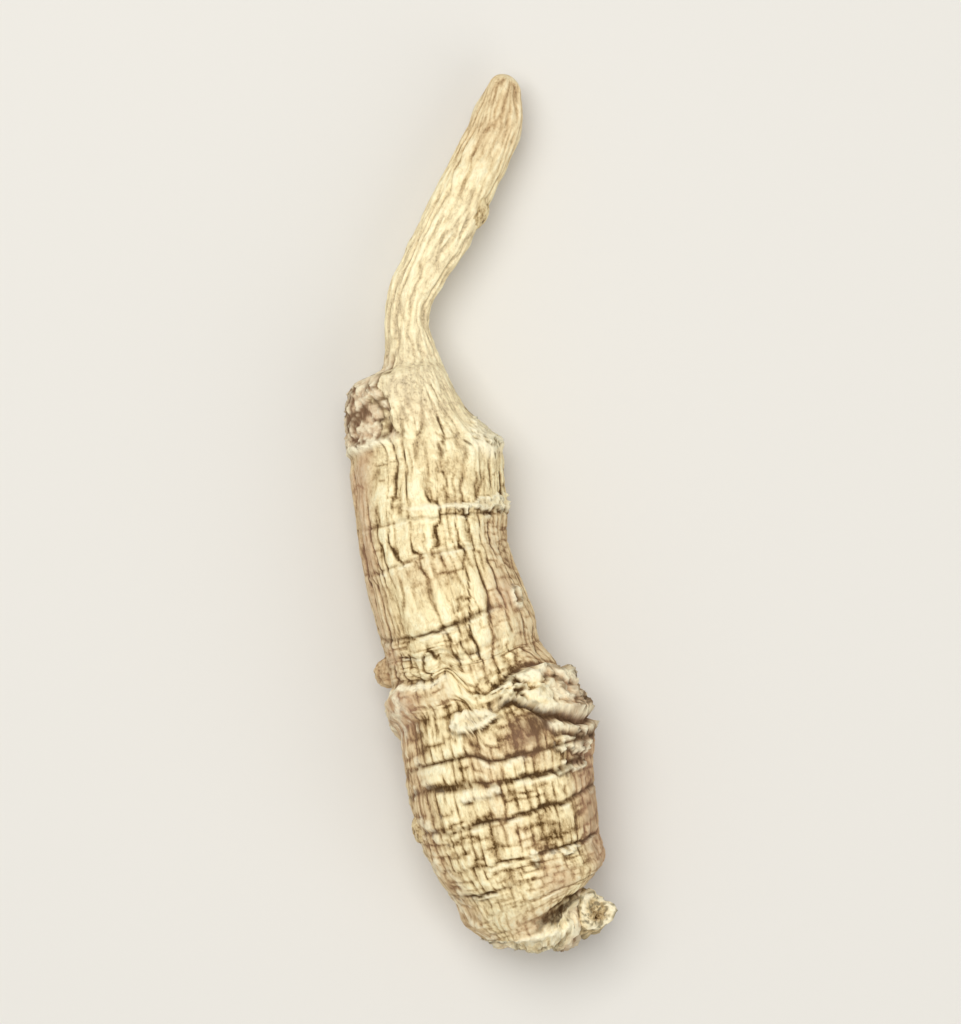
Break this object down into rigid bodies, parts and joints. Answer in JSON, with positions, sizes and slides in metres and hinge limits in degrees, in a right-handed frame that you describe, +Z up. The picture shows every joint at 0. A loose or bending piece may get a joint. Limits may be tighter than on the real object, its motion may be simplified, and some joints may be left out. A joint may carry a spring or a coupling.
{
  "type": "ginseng root",
  "caption": "Whole dried ginseng root lying on its side, with a slender bent tail, a wrinkled body, a ragged collar, a ringed lower part and a blunt crown.",
  "frame": {"origin": "middle of the underside of the root's box, on the surface it lies on", "axes": "+Y along the root towards the tip of the tail, +Z up, +X to the right seen from above with the tail away"},
  "size_m": [0.0252, 0.0818, 0.0161],
  "materials": {
    "dry_root_skin": "matte, wrinkled dry skin, cream on the ridges and brown in the furrows"
  },
  "bodies": {
    "root": {"ginseng_root": "dry_root_skin"}
  },
  "joints": []
}
